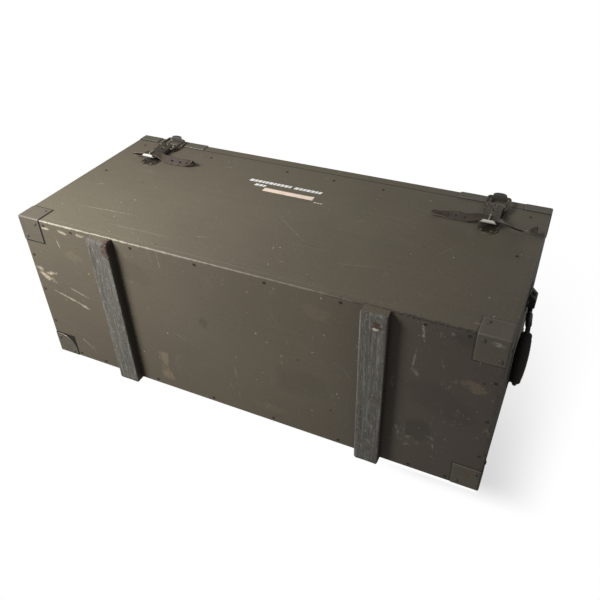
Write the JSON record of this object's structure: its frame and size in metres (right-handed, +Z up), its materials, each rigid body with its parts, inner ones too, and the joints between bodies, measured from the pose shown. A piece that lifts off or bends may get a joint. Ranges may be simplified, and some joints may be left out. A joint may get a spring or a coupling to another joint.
{
  "type": "footlocker",
  "caption": "Painted wooden footlocker on two skids with a back-hinged battened lid, draw latches, drop handles on the ends and sheet steel corners.",
  "frame": {"origin": "centre of the footprint, level with the undersides of the skids", "axes": "+X along the chest's length, -Y out of the front with the latches, +Z up through the lid"},
  "size_m": [0.928, 0.3552, 0.4134],
  "materials": {
    "case_paint": "worn olive-drab paint over boards",
    "bare_wood": "bare planed softwood, inside",
    "skid_wood": "scuffed grey-brown wood with worn paint",
    "corner_steel": "olive-drab painted sheet steel, worn at the edges",
    "latch_steel": "dull worn steel with paint and rust",
    "handle_steel": "black painted steel",
    "fastener_steel": "painted over, some rust",
    "grip_leather": "nearly black stitched leather",
    "strap_leather": "dry brown leather",
    "label_paper": "aged cream sticker"
  },
  "bodies": {
    "case": {"back_panel": "case_paint", "base_corner_back_left": "corner_steel", "base_corner_back_right": "corner_steel", "base_corner_front_left": "corner_steel", "base_corner_front_right": "corner_steel", "base_corner_rivets": "fastener_steel", "bottom_panel": "case_paint", "case_nails": "fastener_steel", "corner_batten_back_left": "bare_wood", "corner_batten_back_right": "bare_wood", "corner_batten_front_left": "bare_wood", "corner_batten_front_right": "bare_wood", "end_panel_left": "case_paint", "end_panel_right": "case_paint", "front_label": "label_paper", "front_panel": "case_paint", "handle_cap_back_left": "handle_steel", "handle_cap_back_right": "handle_steel", "handle_cap_front_left": "handle_steel", "handle_cap_front_right": "handle_steel", "handle_rivets": "fastener_steel", "hinge_case_leaf_left": "corner_steel", "hinge_case_leaf_right": "corner_steel", "hinge_pin_left": "fastener_steel", "hinge_pin_right": "fastener_steel", "hinge_screws": "fastener_steel", "inner_rail_back": "bare_wood", "inner_rail_front": "bare_wood", "latch_base_left": "latch_steel", "latch_base_right": "latch_steel", "latch_pin_left": "fastener_steel", "latch_pin_right": "fastener_steel", "latch_rivets": "fastener_steel", "skid_left": "skid_wood", "skid_right": "skid_wood", "skid_screws": "fastener_steel"},
    "lid": {"hinge_lid_leaf_left": "corner_steel", "hinge_lid_leaf_right": "corner_steel", "keeper_left": "corner_steel", "keeper_right": "corner_steel", "lid_board": "case_paint", "lid_cleat_left": "bare_wood", "lid_cleat_right": "bare_wood", "lid_corner_back_left": "corner_steel", "lid_corner_back_right": "corner_steel", "lid_corner_front_left": "corner_steel", "lid_corner_front_right": "corner_steel", "lid_rivets": "fastener_steel"},
    "lever_left": {"latch_lever_left": "latch_steel", "lever_loop_left": "latch_steel", "latch_strap_left": "strap_leather"},
    "bail_left": {"latch_bail_left": "latch_steel"},
    "handle_left": {"handle_rod_left": "handle_steel", "handle_grip_left": "grip_leather"},
    "lever_right": {"latch_lever_right": "latch_steel", "lever_loop_right": "latch_steel", "latch_strap_right": "strap_leather"},
    "bail_right": {"latch_bail_right": "latch_steel"},
    "handle_right": {"handle_rod_right": "handle_steel", "handle_grip_right": "grip_leather"}
  },
  "joints": [
    {"name": "lid_hinge", "type": "hinge", "parent": "case", "child": "lid", "pos_m": [0, 0.17263, 0.388], "axis": [-1, 0, 0], "range_deg": [0, 105]},
    {"name": "lever_left_swing", "type": "hinge", "parent": "case", "child": "lever_left", "pos_m": [-0.348, -0.16587, 0.364], "axis": [-1, 0, 0], "range_deg": [0, 90]},
    {"name": "bail_left_swing", "type": "hinge", "parent": "lever_left", "child": "bail_left", "pos_m": [-0.348, -0.16587, 0.352], "axis": [-1, 0, 0], "range_deg": [-72, 0]},
    {"name": "handle_left_swing", "type": "hinge", "parent": "case", "child": "handle_left", "pos_m": [-0.447, 0.00462, 0.237], "axis": [0, 1, 0], "range_deg": [0, 120]},
    {"name": "lever_right_swing", "type": "hinge", "parent": "case", "child": "lever_right", "pos_m": [0.348, -0.16587, 0.364], "axis": [-1, 0, 0], "range_deg": [0, 90]},
    {"name": "bail_right_swing", "type": "hinge", "parent": "lever_right", "child": "bail_right", "pos_m": [0.348, -0.16587, 0.352], "axis": [-1, 0, 0], "range_deg": [-72, 0]},
    {"name": "handle_right_swing", "type": "hinge", "parent": "case", "child": "handle_right", "pos_m": [0.447, 0.00462, 0.237], "axis": [0, -1, 0], "range_deg": [0, 120]}
  ],
  "couplings": [
    {"joint": "bail_left_swing", "follows": "lever_left_swing", "ratio": -0.79},
    {"joint": "bail_right_swing", "follows": "lever_right_swing", "ratio": -0.79}
  ]
}
